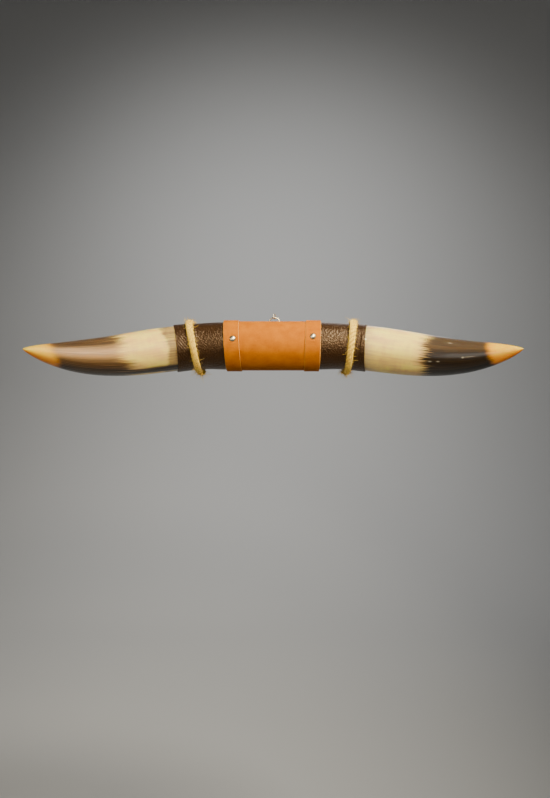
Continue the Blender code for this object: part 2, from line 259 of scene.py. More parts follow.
def worded(name):
    """The label of the socket that a name stands for: Base Color for base_color."""
    return name.replace("_", " ").title()


def connect(tree, target, **sources):
    """Feeds a node's inputs."""
    for name, source in sources.items():
        tree.links.new(source.socket, target.inputs[worded(name)])


def bump(height, distance):
    """The normal of a surface raised by this height, which is a share of the distance."""
    return height.node("ShaderNodeBump", {"Height": height, "Distance": distance})


def make_wood():
    made, tree, shader = plain_material("turned_hardwood", (0.42, 0.26, 0.13), 0.6)
    place = field(tree, "ShaderNodeTexCoord", 3)
    along, back, up = place.parts()
    rings = (back * back + up * up) ** 0.5 * 420 + place.times((8, 60, 60)).noise(detail=3) * 3
    ring = rings.math("SINE") * 0.5 + 0.5
    pores = place.times((40, 900, 900)).noise(detail=2)
    colour = (ring * 0.6 + pores * 0.4).colour_to((0.30, 0.17, 0.075), (0.52, 0.34, 0.18))
    connect(tree, shader, base_color=colour, normal=bump(pores, 0.0002))
    return made


def finish_node(name, material):
    """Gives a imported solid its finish."""
    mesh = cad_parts[name].data
    mesh.materials.clear()
    mesh.materials.append(material)


finish_node("core", make_wood())


# The bar's line. The bar is straight in the middle, and each half then curves forward on an arc
# while it dips and rises again. One tree of nodes bends whatever lies on the straight bar.

STRAIGHT_HALF = 0.057
FORWARD_RADIUS = 0.240
DIP = 0.0138
DIP_RUN = 0.137
SOCKETS = {float: "Float", int: "Int", tuple: "Color", Vector: "Vector"}


def new_group(name, kind, outputs, **inputs):
    """An empty node group, what its inputs give and its output node.

    An input's socket suits its value. Without one it is of the kind that it is named after.
    """
    tree = bpy.data.node_groups.new(name, kind)
    new_socket = tree.interface.new_socket
    for label, value in inputs.items():
        socket = "NodeSocket" + SOCKETS.get(type(value), worded(label))
        made = new_socket(worded(label), in_out="INPUT", socket_type=socket)
        if value is not None:
            made.default_value = value
    for label, socket in outputs.items():
        new_socket(label, in_out="OUTPUT", socket_type="NodeSocket" + socket)
    source = tree.nodes.new("NodeGroupInput")
    target = tree.nodes.new("NodeGroupOutput")
    fields = {label: Field(source.outputs[worded(label)]) for label in inputs}
    return tree, SimpleNamespace(**fields), target


def shape_group(name, **inputs):
    """A group that changes a shape: it has a Geometry socket on each side."""
    return new_group(name, "GeometryNodeTree", {"Geometry": "Geometry"}, geometry=None, **inputs)


def make_bend():
    tree, given, out = shape_group(
        "bend_to_bar",
        straight_half=STRAIGHT_HALF,
        forward_radius=FORWARD_RADIUS,
        dip=DIP,
        dip_run=DIP_RUN,
        bar_axis=BAR_AXIS,
    )
    along, back, up = field(tree, "GeometryNodeInputPosition").parts()
    side = along.math("SIGN")
    reach = along.math("ABSOLUTE")
    run = (reach - given.straight_half).math("MAXIMUM", 0)
    turn = run / given.forward_radius
    phase = run / given.dip_run * math.pi
    straight = reach.math("MINIMUM", given.straight_half)
    out_x = side * (straight + given.forward_radius * turn.math("SINE"))
    forward = given.forward_radius * (1 - turn.math("COSINE"))
    down = given.dip * (1 - phase.math("COSINE")) * 0.5
    slope = given.dip / given.dip_run * (math.pi / 2) * phase.math("SINE")
    right = combined(turn.math("COSINE"), -(side * turn.math("SINE")), -(side * slope))
    right = right.vector("NORMALIZE")
    front = right.vector("CROSS_PRODUCT", (0, 0, 1)).vector("NORMALIZE")
    top = front.vector("CROSS_PRODUCT", right)
    middle = combined(out_x, -forward, -down).vector("ADD", given.bar_axis)
    place = middle.vector("ADD", front.scaled(-back)).vector("ADD", top.scaled(up))
    bent = place.node("GeometryNodeSetPosition", {"Geometry": given.geometry, "Position": place})
    connect(tree, out, geometry=bent)
    return tree


bend_to_bar = make_bend()


def stored(geometry, name, value, kind="FLOAT"):
    """The geometry with a value kept on its points under a name."""
    inputs = {"Geometry": geometry, "Name": name, "Value": value}
    return geometry.node("GeometryNodeStoreNamedAttribute", inputs, data_type=kind, domain="POINT")


def kept(tree, name, kind="FLOAT"):
    """A value that the shape's points keep under a name."""
    return field(tree, "GeometryNodeInputNamedAttribute", inputs={"Name": name}, data_type=kind)


def moved(geometry, offset):
    return geometry.node("GeometryNodeSetPosition", {"Geometry": geometry, "Offset": offset})


def end_tree(tree, out, geometry, given):
    """Makes the shape's instances real, bends it to the bar and gives it its material."""
    real = geometry.node("GeometryNodeRealizeInstances", {"Geometry": geometry})
    place = field(tree, "GeometryNodeInputPosition")
    marked = stored(real, "straight", place, "FLOAT_VECTOR")
    bend = add(tree, "GeometryNodeGroup", {}, node_tree=bend_to_bar)
    connect(tree, bend, geometry=marked)
    inputs = {"Geometry": bend.outputs[0], "Material": given.material}
    connect(tree, out, geometry=field(tree, "GeometryNodeSetMaterial", inputs=inputs))


def settled(name, guide, tree, **values):
    """The plain mesh that a tree makes from a guide mesh, as a new object."""
    holder = link_object(name + "_guide", guide)
    change = holder.modifiers.new(tree.name, "NODES")
    change.node_group = tree
    for item in tree.interface.items_tree:
        label = item.name.lower().replace(" ", "_")
        if item.in_out == "INPUT" and label in values:
            change[item.identifier] = values[label]
    seen = holder.evaluated_get(bpy.context.evaluated_depsgraph_get())
    mesh = bpy.data.meshes.new_from_object(seen)
    bpy.data.objects.remove(holder)
    mesh.name = name
    return link_object(name, mesh)


def fit(piece, node, body="horn_bar"):
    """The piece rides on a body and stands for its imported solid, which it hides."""
    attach(piece, body)
    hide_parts(node)


# The horns: cattle horn, each grown as a curved cone, sawn square at the base, bored for the
# core's tenon and polished. Cream near the base, brown to black beyond, with a clear amber tip.

HANDS = {"left": -1, "right": 1}
HORN_SEAT = 0.078
HORN_TIP = {"left": 0.248, "right": 0.249}
HORN_RADIUS = 0.0222
HORN_SWELL = 0.6
HORN_TAPER = (1.4, 0.76)
HORN_STATIONS = 150
HORN_CROWDING = 1.6
HORN_SIDES = 112
BORE = ((0.060, 0.0), (0.060, 0.0045), (0.032, 0.0159), (0.0, 0.0174))


def side_of(along):
    return "left" if along < 0 else "right"


def smooth_step(share):
    share = min(max(share, 0.0), 1.0)
    return share * share * (3 - 2 * share)


def hump(distance, width):
    """1 at no distance, dying out smoothly over about a width."""
    return math.exp(-((distance / width) ** 2))


def horn_radius(along):
    share = (abs(along) - HORN_SEAT) / (HORN_TIP[side_of(along)] - HORN_SEAT)
    grow, shrink = HORN_TAPER
    return HORN_RADIUS * (1 + HORN_SWELL * share) * (1 - share**grow) ** shrink


def round_bar(along, radius, turn):
    """A place on the straight bar. A turn of 0 is in front, and it then goes up over the top."""
    return (along, -radius * math.cos(turn), radius * math.sin(turn))


def turned_mesh(name, profile, sides):
    """A closed mesh turned about X from pairs of a place along X and a radius."""
    work = bmesh.new()
    rings = []
    for along, radius in profile:
        turns = [2 * math.pi * step / sides for step in range(sides if radius else 1)]
        rings.append([work.verts.new(round_bar(along, radius, turn)) for turn in turns])
    for one, two in zip(rings, rings[1:]):
        for i in range(sides):
            j = i + 1
            corners = [one[i % len(one)], one[j % len(one)], two[j % len(two)], two[i % len(two)]]
            work.faces.new(list(dict.fromkeys(corners)))
    bmesh.ops.recalc_face_normals(work, faces=work.faces)
    mesh = bpy.data.meshes.new(name)
    work.to_mesh(mesh)
    work.free()
    mesh.shade_smooth()
    return mesh


def make_horn_tree():
    tree, given, out = shape_group(
        "grown_horn",
        seat=HORN_SEAT,
        tip=HORN_TIP["left"],
        wave_depth=0.0006,
        seed=0.0,
        material=None,
    )
    place = field(tree, "GeometryNodeInputPosition")
    along, back, up = place.parts()
    radius = ((back * back + up * up) ** 0.5).math("MAXIMUM", 0.00001)
    share = (along.math("ABSOLUTE") - given.seat) / (given.tip - given.seat)
    growth = combined(share, -back / radius, up / radius)
    shape = stored(given.geometry, "growth", growth, "FLOAT_VECTOR")
    wave = place.times((14, 42, 42)).vector("ADD", given.seed).noise(detail=1) - 0.5
    normal = field(tree, "GeometryNodeInputNormal")
    shape = moved(shape, normal.scaled(wave * given.wave_depth))
    end_tree(tree, out, shape, given)
    return tree


# Each dent: its share of the horn's length and its height, then how long and how wide it is.
DENTS = (
    ((0.505, -0.32), 0.009, 0.026),
    ((0.552, -0.31), 0.008, 0.024),
    ((0.610, 0.70), 0.012, 0.020),
    ((0.692, -0.12), 0.006, 0.045),
    ((0.724, -0.10), 0.028, 0.013),
)


def streak_mark(share, top, place, length, width):
    """A small lengthwise mark on a horn, at a share of its length and a height across it."""
    at_share, at_top = place
    return share.bump_at(at_share, length) * top.bump_at(at_top, width)


WHITE = (1.0, 1.0, 1.0, 1.0)
HORN_COLOURS = (
    "cream", "cream_shade", "collar", "crest", "middle", "flank", "belly",
    "point", "point_shade", "point_edge", "dent",
)


def figure_group(name, **inputs):
    """A group that puts out the colour, the roughness and the height of a surface."""
    outputs = {"Color": "Color", "Roughness": "Float", "Height": "Float"}
    return new_group(name, "ShaderNodeTree", outputs, **inputs)


def make_horn_figure():
    """The colours of polished horn, from the place kept as growth: share, front and top."""
    tree, given, out = figure_group(
        "horn_figure",
        cream_end=0.43,
        cream_undercut=0.0,
        raggedness=0.1,
        softness=0.012,
        collar_end=0.0,
        collar_bow=0.0,
        collar_blur=0.014,
        belly_line=-2.0,
        belly_foot=-3.0,
        middle_low=-0.42,
        point_start=0.79,
        point_slant=0.0,
        point_blur=0.02,
        dents=0.0,
        seed=0.0,
        **dict.fromkeys(HORN_COLOURS, WHITE),
    )
    growth = field(tree, "ShaderNodeAttribute", 1, attribute_name="growth")
    share, front, top = growth.parts()
    seed = combined(given.seed, given.seed * 2, given.seed * 3)
    flow = growth.vector("ADD", seed)
    cloud = flow.times((6, 2.5, 2.5)).noise(detail=3) - 0.5
    rings = flow.times((24, 0.9, 0.9)).noise(detail=3, distortion=0.4) - 0.5
    broad = flow.times((2.2, 5, 5)).noise(detail=2) - 0.5
    fine = flow.times((3, 30, 30)).noise(detail=3, roughness=0.6) - 0.5
    hair = flow.times((4.5, 78, 78)).noise(detail=2) - 0.5
    streaks = broad * 0.6 + fine * 1.1 + hair * 1.5
    # Away from the cream base: black below, brown on the flank, paler in the middle, dark on top.
    height = top + broad * 0.25 + fine * 0.22
    dark = height.rise(-0.82, -0.60).colour_to(given.belly, given.flank)
    # On the left horn this paler middle band is partly the horn's own tan and partly painted sheen.
    dark = height.rise(given.middle_low, given.middle_low + 0.4).colour_to(dark, given.middle)
    dark = height.rise(0.25, 0.62).colour_to(dark, given.crest)
    dark = (hair * 1.2 + fine * 1.4 + 0.2).colour_to(dark, given.belly)
    # Paler streaks of the middle colour, which on the left horn carry its painted sheen as well.
    dark = (hair * 1.3 - fine * 2.2 - 0.05).colour_to(dark, given.middle)
    # The clear tip, paler towards its point and redder where it begins.
    into = share - given.point_start - given.point_slant * top - streaks * 0.03
    tip_mask = into.rise(-given.point_blur, given.point_blur)
    ripe = (into + fine * 0.05).rise(-0.03, 0.06).colour_to(given.point_edge, given.point)
    # The tip is also paler on top and deeper orange underneath: partly painted highlight and painted
    # shade.
    ripe = (-top + cloud * 0.5).rise(0.1, 0.9).colour_to(ripe, given.point_shade)
    colour = tip_mask.colour_to(dark, ripe)
    # The cream base, with growth rings and faint streaks, ragged where it meets the dark.
    edge = given.cream_end - given.cream_undercut * (-top).rise(0.1, 0.6)
    into = edge + streaks * given.raggedness - share
    above = (height + cloud * 0.1).rise(given.belly_line - 0.07, given.belly_line + 0.05)
    # Cream again along the very underside, below the reflection line: a painted reflection.
    under = (top + fine * 0.03).rise(given.belly_foot + 0.02, given.belly_foot - 0.02)
    above = above.math("MAXIMUM", under)
    cream_mask = into.rise(-given.softness, given.softness) * above
    veins = cloud * 2.4 + rings * 1.2 + fine * 1.4 + hair * 0.9 - top * 0.12 + 0.38
    cream = veins.math("MAXIMUM", 0).math("MINIMUM", 1)
    cream = cream.colour_to(given.cream, given.cream_shade)
    cream = (into.rise(0.05, 0.0) * 0.5).colour_to(cream, given.cream_shade)
    collar = given.collar_end + given.collar_bow * top * top + cloud * 0.05 - share
    collar = (collar + fine * 0.03).rise(-given.collar_blur, given.collar_blur)
    cream = (collar * (0.8 + fine * 1.6 + rings * 0.8)).colour_to(cream, given.collar)
    colour = cream_mask.colour_to(colour, cream)
    # A few small dents on the front, each sunk a little and given a pale painted glint.
    dents = sum(streak_mark(share, top, *dent) for dent in DENTS)
    dents = dents * given.dents * front.rise(0.0, 0.2)
    colour = dents.colour_to(colour, given.dent)
    rough = fine * 0.12 + hair * 0.12 + 0.3
    relief = hair * 0.6 + fine * 0.8 + 0.5 - dents * 2
    connect(tree, out, color=colour, roughness=rough, height=relief)
    return tree


def shade(red, green, blue):
    """A colour given as the eye sees it, from 0 to 255, as the light it gives back."""
    return tuple(((part / 255 + 0.055) / 1.055) ** 2.4 for part in (red, green, blue))


def figured_material(name, group, relief, settings, **values):
    """A material with the look that a group gives for these values.

    Relief is how far the group's height stands up. Settings are the shader's own.
    """
    made, tree, shader = plain_material(name, (0.5, 0.4, 0.3), 0.3)
    figure = tree.nodes.new("ShaderNodeGroup")
    figure.node_tree = group
    for label, value in values.items():
        socket = figure.inputs[worded(label)]
        socket.default_value = (*value, 1) if socket.type == "RGBA" else value
    for label, value in settings.items():
        shader.inputs[label].default_value = value
    colour, rough, height = (Field(socket) for socket in figure.outputs)
    connect(tree, shader, base_color=colour, roughness=rough, normal=bump(height, relief))
    return made


horn_tree = make_horn_tree()
horn_figure = make_horn_figure()
HORN_SHADER = {
    "IOR": 1.54,
    "Specular IOR Level": 0.3,
    "Coat Weight": 0.3,
    "Coat Roughness": 0.05,
    "Subsurface Weight": 0.5,
    "Subsurface Radius": (1.0, 0.55, 0.22),
    "Subsurface Scale": 0.010,
}
HORN_RELIEF = 0.00012


def make_horn(side, material, seed):
    hand = HANDS[side]
    shares = [1 - (1 - step / HORN_STATIONS) ** HORN_CROWDING for step in range(HORN_STATIONS)]
    spots = [HORN_SEAT + share * (HORN_TIP[side] - HORN_SEAT) for share in shares]
    bore = [(hand * (HORN_SEAT + deep), radius) for deep, radius in BORE]
    outside = [(hand * spot, horn_radius(hand * spot)) for spot in spots]
    mesh = turned_mesh("horn", [*bore, *outside, (hand * HORN_TIP[side], 0)], HORN_SIDES)
    piece = settled(
        "polished_horn_" + side, mesh, horn_tree, tip=HORN_TIP[side], seed=seed, material=material
    )
    fit(piece, "horn_" + side)


make_horn("left", figured_material(
    "tan_horn", horn_figure, HORN_RELIEF, HORN_SHADER,
    cream_end=0.468,
    cream_undercut=0.065,
    raggedness=0.15,
    softness=0.045,
    collar_end=0.177,
    collar_bow=0.040,
    belly_line=-0.70,
    # A thin pale line along the underside, painted as a reflection.
    belly_foot=-0.94,
    point_start=0.838,
    point_slant=0.028,
    point_blur=0.028,
    seed=1.7,
    cream=shade(253, 224, 110),
    cream_shade=shade(230, 184, 116),
    collar=shade(132, 106, 68),
    crest=shade(80, 58, 34),
    # Partly the horn's own tan, partly painted sheen.
    middle=shade(196, 154, 100),
    flank=shade(92, 64, 30),
    belly=shade(14, 8, 3),
    point=shade(246, 194, 50),
    point_shade=shade(226, 140, 16),
    point_edge=shade(190, 126, 50),
), 0.0)
make_horn("right", figured_material(
    "dark_horn", horn_figure, HORN_RELIEF, HORN_SHADER,
    cream_end=0.462,
    raggedness=0.13,
    softness=0.022,
    point_start=0.832,
    collar_end=0.125,
    collar_bow=0.02,
    collar_blur=0.055,
    middle_low=0.1,
    point_slant=-0.015,
    point_blur=0.022,
    dents=0.45,
    seed=4.1,
    cream=shade(253, 226, 112),
    cream_shade=shade(222, 178, 116),
    collar=shade(182, 152, 110),
    crest=shade(84, 66, 44),
    middle=shade(94, 72, 42),
    flank=shade(44, 31, 14),
    belly=shade(10, 6, 2),
    point=shade(244, 188, 30),
    point_shade=shade(238, 148, 10),
    point_edge=shade(214, 130, 20),
    # The pale painted glint on the dents.
    dent=shade(240, 226, 196),
), 5.0)


# The leather: a dark sleeve glued over the core and the roots of both horns, a tan panel round its
# middle, and a tan strap over each end of the panel. Each is cut from sheet and wrapped round.

GAP = 0.00025
CORE_RADIUS = 0.02295
CORE_NECK = 0.050
# Each butted seam: its turn round the bar and half its gap, in degrees.
SLEEVE_SEAM = (218, 1.0)
PANEL_SEAM = (232, 0.93)
# The sleeve's ends: the place of each, and how far its cut slants by height and by depth.
SLEEVE_CUTS = ((-0.1004, 0.0010, 0.0011), (0.0965, -0.0018, -0.0012))
SLEEVE_THICK = 0.0012
PANEL_HALF = 0.0478
PANEL_INSIDE = CORE_RADIUS + 2 * GAP + SLEEVE_THICK
SHEET_THICK = 0.00075
STRAP_INSIDE = PANEL_INSIDE + SHEET_THICK + GAP
STRAP_PLACE = {"left": -0.0411, "right": 0.0410}
STRAP_LEAN = {"left": (0.060, 0.0), "right": (0.036, -0.045)}
STRAP_WIDTH = 0.0155
STRAP_START = 176
STRAP_LAP = 30
STRAP_RAMP = 16
ROPE_PLACE = {"left": -0.0807, "right": 0.0801}
ROPE_LEAN = {"left": (0.108, -0.064), "right": (0.040, -0.016)}
ROPE_MIDDLE = 0.0025
LEATHER_GRID = 0.0006
ROLLED_EDGE = ((0.0, 0.55), (0.0001, 0.8), (0.00025, 0.94), (0.0005, 1.0))
RIM_WIDTH = 0.0003
END_SHARE = 0.6
STUD_FRONT = {"left": (-0.0400, 11), "right": (0.0400, 16.5)}
STUD_BACK = {"left": (-0.0411, 190), "right": (0.0410, 190)}
# Each groove: its depth and width, then how high its lip is, how far off and how wide.
ROPE_GROOVE = (0.0005, 0.0021, 0.0002, 0.0042, 0.0014)
FOLD_GROOVE = (0.0008, 0.0009, 0.0005, 0.0021, 0.0012)
STUD_DIMPLE = (0.00035, 0.0030, 0.00012, 0.0046, 0.0012)
FOLD_PLACE = 0.0893
CREASE_PLACE = -0.0925
CREASE_SPACING = 0.0026
CREASE_DEPTH = 0.0009


def wrapped_radius(along):
    """The outside of the core, blending into the horns past the core's neck."""
    if abs(along) > HORN_SEAT:
        return horn_radius(along)
    blend = smooth_step((abs(along) - CORE_NECK) / (HORN_SEAT - CORE_NECK))
    return CORE_RADIUS + (HORN_RADIUS - CORE_RADIUS) * blend


def sleeve_outside(along):
    return wrapped_radius(along) + GAP + SLEEVE_THICK


def rope_line(side, turn):
    """Where a rope lies along the bar at a turn, because it leans."""
    by_height, by_depth = ROPE_LEAN[side]
    reach = sleeve_outside(ROPE_PLACE[side]) + ROPE_MIDDLE
    shift = by_height * math.sin(turn) - by_depth * math.cos(turn)
    return ROPE_PLACE[side] + HANDS[side] * reach * shift


def spread(first, last, count):
    """Places evenly spread from the first to the last."""
    return [first + (last - first) * step / count for step in range(count + 1)]


def from_front(degrees):
    """An angle round the bar as one between -180 and 180, from the front."""
    return (degrees + 180) % 360 - 180


def across_sheet(first, last, *stretches):
    """Places across a sheet, crowded where both its edges roll over.

    Each stretch says where it ends and how many steps it has. The last goes on to the far edge.
    """
    roll = [far for far, _ in ROLLED_EDGE]
    places = [first + far for far in roll]
    for end, count in stretches[:-1]:
        places += spread(places[-1], end, count)[1:]
    places += spread(places[-1], last - roll[-1], stretches[-1])[1:]
    return places + [last - far for far in reversed(roll[:-1])]


def sheet_section(places, inside, thick, relief):
    """A sheet's section, down its outside and back up its inside.

    Each point is a place along the bar, a radius, whether it shows its grain and whether it is
    on a cut rim. Inside and relief give a radius and a rise at each place.
    """
    first, last = places[0], places[-1]
    section = []
    for place in places:
        off = min(place - first, last - place)
        full = [share for far, share in ROLLED_EDGE if far < off + 1e-6][-1]
        rim = 1.0 if off < RIM_WIDTH else 0.0
        section.append((place, inside(place) + thick * full + relief(place), 1.0 - rim, rim))
    # The inside is hidden, so a few points will do.
    back = [places[0], *places[8:-8:12], places[-1]]
    return section + [(place, inside(place), 0.0, 0.0) for place in reversed(back)]


def keep(mesh, marks, *names):
    """Keeps each point's marks on a mesh, under their names."""
    for name, values in zip(names, zip(*marks)):
        mesh.attributes.new(name, "FLOAT", "POINT").data.foreach_set("value", values)


def wrap_mesh(name, start, end, section):
    """A closed mesh of a sheet wrapped round the bar between two turns in degrees.

    The section gives the same run of points at any turn, for the share of the sheet's thickness
    there, which is less at its two ends.
    """
    step = math.degrees(LEATHER_GRID / CORE_RADIUS)
    turns = spread(start, end, round((end - start) / step))
    turns = [start, start + step / 4, *turns[1:-1], end - step / 4, end]
    points = []
    marks = []
    for degrees in turns:
        turn = math.radians(degrees)
        full = END_SHARE if degrees in (start, end) else 1.0
        rows = section(degrees, full)
        points += [round_bar(along, far, turn) for along, far, *_ in rows]
        marks += [(grain * (full == 1.0), rim) for _, _, grain, rim in rows]
    size = len(rows)
    faces = [tuple(range(size)), tuple(range(len(points) - 1, len(points) - 1 - size, -1))]
    for row in range(0, len(points) - size, size):
        for i in range(size):
            j = (i + 1) % size
            faces.append((row + i, row + size + i, row + size + j, row + j))
    mesh = bpy.data.meshes.new(name)
    mesh.from_pydata(points, [], faces)
    keep(mesh, marks, "grain", "rim")
    mesh.shade_smooth()
    return mesh


def groove(off, depth, width, lip, lip_off, lip_width):
    """How far a surface rises at a distance from a groove: it has a raised lip along each side."""
    return lip * hump(abs(off) - lip_off, lip_width) - depth * hump(off, width)


def sleeve_relief(along, degrees):
    """How far the sleeve swells or sinks: it sinks under its rope, and has a few folds in front."""
    side = side_of(along)
    turn = math.radians(degrees)
    front = from_front(degrees)
    relief = groove(along - rope_line(side, turn), *ROPE_GROOVE)
    if side == "right":
        off = along - FOLD_PLACE - 0.0004 * math.sin(turn * 5)
        return relief + groove(off, *FOLD_GROOVE) * hump(front - 3, 21)
    slant = along * 0.85 + math.radians(front) * 0.0237 * 0.53
    crease = abs(math.sin(slant * math.pi / CREASE_SPACING + 0.8 * math.sin(turn * 4)))
    here = hump(front - 2, 26) * hump(along - CREASE_PLACE, 0.0052)
    return relief + here * (CREASE_DEPTH * crease - 0.0005)


def sleeve_section(degrees, full):
    turn = math.radians(degrees)
    low, high = (
        place + by_height * math.sin(turn) + by_depth * math.cos(turn)
        for place, by_height, by_depth in SLEEVE_CUTS
    )
    places = across_sheet(low, high, (-0.047, 90), (0.047, 14), 83)
    return sheet_section(
        places,
        lambda place: wrapped_radius(place) + GAP,
        SLEEVE_THICK * full,
        lambda place: sleeve_relief(place, degrees),
    )


def panel_section(degrees, full):
    places = across_sheet(-PANEL_HALF, PANEL_HALF, 110)
    return sheet_section(places, lambda place: PANEL_INSIDE, SHEET_THICK * full, lambda place: 0)


def strap_section(side, degrees, full):
    by_height, by_depth = STRAP_LEAN[side]
    turn = math.radians(degrees)
    lift = smooth_step((degrees - STRAP_START - 360 + STRAP_RAMP) / STRAP_RAMP)
    inside = STRAP_INSIDE + lift * (SHEET_THICK + GAP)
    lean = HANDS[side] * by_height * math.sin(turn) + by_depth * math.cos(turn)
    middle = STRAP_PLACE[side] + STRAP_INSIDE * lean
    places = across_sheet(middle - STRAP_WIDTH / 2, middle + STRAP_WIDTH / 2, 26)
    studs = [STUD_FRONT[side], (STUD_BACK[side][0], STUD_BACK[side][1] + 360)]

    def relief(place):
        rise = 0
        for along, angle in studs:
            rounds = [math.radians(degrees - angle - more) * STRAP_INSIDE for more in (0, 360)]
            near = min(math.hypot(place - along, far) for far in rounds)
            rise += groove(near, *STUD_DIMPLE)
        return rise

    return sheet_section(places, lambda place: inside, SHEET_THICK * full, relief)


def grain_cells(place, size, feature="F1"):
    """The distance into the nearest pebble of leather's grain."""
    drift = place.scaled(1 / (size * 2)).noise(detail=1)
    return place.scaled(1 / size).vector("ADD", drift.scaled(1.2)).cells(feature)


def make_leather_tree():
    tree, given, out = shape_group(
        "worked_leather",
        grain_size=0.0018,
        grain_depth=0.0001,
        swell_size=0.012,
        swell_depth=0.0002,
        material=None,
    )
    place = field(tree, "GeometryNodeInputPosition")
    grain = kept(tree, "grain")
    pebbles = 0.5 - grain_cells(place, given.grain_size)
    swell = place.scaled(1 / given.swell_size).noise(detail=1) - 0.5
    rise = pebbles * given.grain_depth + swell * given.swell_depth
    normal = field(tree, "GeometryNodeInputNormal")
    end_tree(tree, out, moved(given.geometry, normal.scaled(rise * grain)), given)
    return tree


def make_leather_figure():
    """The colours and the grain of leather, which is pebbled or plain, with paler cut rims."""
    tree, given, out = figure_group(
        "leather_figure",
        face=WHITE,
        hollow=WHITE,
        cut=WHITE,
        grain_size=0.0018,
        pebbling=1.0,
        mottle=0.3,
        dryness=0.34,
    )
    place = field(tree, "ShaderNodeAttribute", 1, attribute_name="straight")
    rim = field(tree, "ShaderNodeAttribute", 2, attribute_name="rim")
    pebbles = 1 - grain_cells(place, given.grain_size, "SMOOTH_F1") * 1.5
    pores = place.noise(scale=2600, detail=3)
    blots = place.noise(scale=110, detail=4) - 0.5
    raised = pebbles * given.pebbling
    mask = raised * 0.5 + 0.5 + blots * given.mottle + (pores - 0.5) * 0.3
    colour = mask.rise(0.1, 0.9).colour_to(given.hollow, given.face)
    colour = rim.rise(0.4, 0.9).colour_to(colour, given.cut)
    rough = pores * 0.16 + given.dryness - pebbles * 0.06
    connect(tree, out, color=colour, roughness=rough, height=raised + pores * 0.3)
    return tree


leather_tree = make_leather_tree()
leather_figure = make_leather_figure()
WARM_GLOSS = (1.0, 0.7, 0.4, 1)
leathers = {}
leathers["brown_leather"] = figured_material(
    "brown_leather",
    leather_figure,
    0.0004,
    {"Specular IOR Level": 0.5, "Specular Tint": WARM_GLOSS},
    face=shade(52, 32, 14),
    hollow=shade(22, 12, 5),
    cut=shade(64, 40, 24),
    grain_size=0.0014,
    pebbling=1.0,
    mottle=0.3,
    dryness=0.26,
)
leathers["tan_leather"] = figured_material(
    "tan_leather",
    leather_figure,
    0.00012,
    {"Specular IOR Level": 0.06, "Specular Tint": WARM_GLOSS},
    face=shade(190, 110, 2),
    hollow=shade(158, 82, 0),
    cut=shade(208, 148, 70),
    grain_size=0.0011,
    pebbling=0.25,
    mottle=0.8,
    dryness=0.5,
)


def wrap_leather(name, node, section, start, end, slot, **values):
    mesh = wrap_mesh("sheet", start, end, section)
    fit(settled(name, mesh, leather_tree, material=leathers[slot], **values), node)


seam, half_gap = SLEEVE_SEAM
wrap_leather("pebbled_sleeve", "leather_sleeve", sleeve_section, seam + half_gap - 360, seam - half_gap,
             "brown_leather", grain_size=0.0014, grain_depth=0.00011, swell_depth=0.00014)
seam, half_gap = PANEL_SEAM
wrap_leather("tan_panel", "centre_panel", panel_section, seam + half_gap - 360, seam - half_gap,
             "tan_leather", grain_size=0.0012, grain_depth=0.00003, swell_depth=0.00012)
for side in HANDS:
    wrap_leather("tan_strap_" + side, "strap_" + side, partial(strap_section, side),
                 STRAP_START, STRAP_START + 360 + STRAP_LAP,
                 "tan_leather", grain_size=0.0012, grain_depth=0.00003, swell_depth=0.00008)


# The nails: four domed studs that pin the straps, front and back, and one small tack at the sleeve's
# right end. Each is turned brass, a thin head on a pin, pushed into its own hole.

STUD_HEAD = (0.0031, 0.0014)
STUD_PIN = (0.0007, 0.0075)
STUD_SINK = 0.00015
TACK_PLACE = (0.0949, 16)
TACK_HEAD = (0.0012, 0.0006)
TACK_PIN = (0.0004, 0.0045)
STRAP_OUTSIDE = STRAP_INSIDE + SHEET_THICK


def make_brass_wear():
    """Small scratches and dull patches on metal, as a tint, a roughness and a height."""
    tree, given, out = figure_group(
        "brass_wear", bright=WHITE, dull=WHITE, patch_size=0.002, tarnish=0.5
    )
    place = field(tree, "ShaderNodeTexCoord", 3).scaled(1 / given.patch_size)
    patches = place.noise(detail=4)
    scratches = place.times((9, 1.5, 4)).noise(detail=2)
    worn = (patches + given.tarnish - 0.5).rise(0.35, 0.75)
    colour = worn.colour_to(given.bright, given.dull)
    rough = worn * 0.2 + scratches * 0.1 + 0.27
    connect(tree, out, color=colour, roughness=rough, height=scratches)
    return tree


brass_wear = make_brass_wear()
BRASS_RELIEF = 0.00003


def nail_mesh(along, angle, surface, head, pin):
    """A domed nail standing in the straight bar at a place along it and an angle round it."""
    head_radius, head_height = head
    pin_radius, pin_length = pin
    curve = (head_radius**2 + head_height**2) / (2 * head_height)
    half = math.asin(head_radius / curve)
    leans = [half * step / 10 for step in range(11)]
    dome = [(curve * (math.cos(lean) - 1) + head_height, curve * math.sin(lean)) for lean in leans]
    dome[-1] = (0.06 * head_height, 0.985 * head_radius)
    under = [(0, 0.97 * head_radius), (0, pin_radius)]
    point = [(2 * pin_radius - pin_length, pin_radius), (-pin_length, 0)]
    mesh = turned_mesh("nail", [*dome, *under, *point], 32)
    out = Vector(round_bar(0, 1, math.radians(angle)))
    stand = Matrix.Translation(Vector((along, 0, 0)) + out * surface)
    mesh.transform(stand @ out.to_track_quat("X", "Z").to_matrix().to_4x4())
    return mesh


pale_brass = figured_material(
    "pale_brass", brass_wear, BRASS_RELIEF, {"Metallic": 1.0},
    bright=(0.86, 0.74, 0.48),
    dull=(0.55, 0.42, 0.22),
    patch_size=0.0025,
    tarnish=0.35,
)
on_the_bar, given, out = shape_group("on_the_bar", material=None)
end_tree(on_the_bar, out, given.geometry, given)


def drive_nail(name, node, place, surface, head, pin):
    mesh = nail_mesh(*place, surface + GAP, head, pin)
    piece = settled(name, mesh, on_the_bar, material=pale_brass)
    piece.data.set_sharp_from_angle(angle=math.radians(50))
    fit(piece, node)


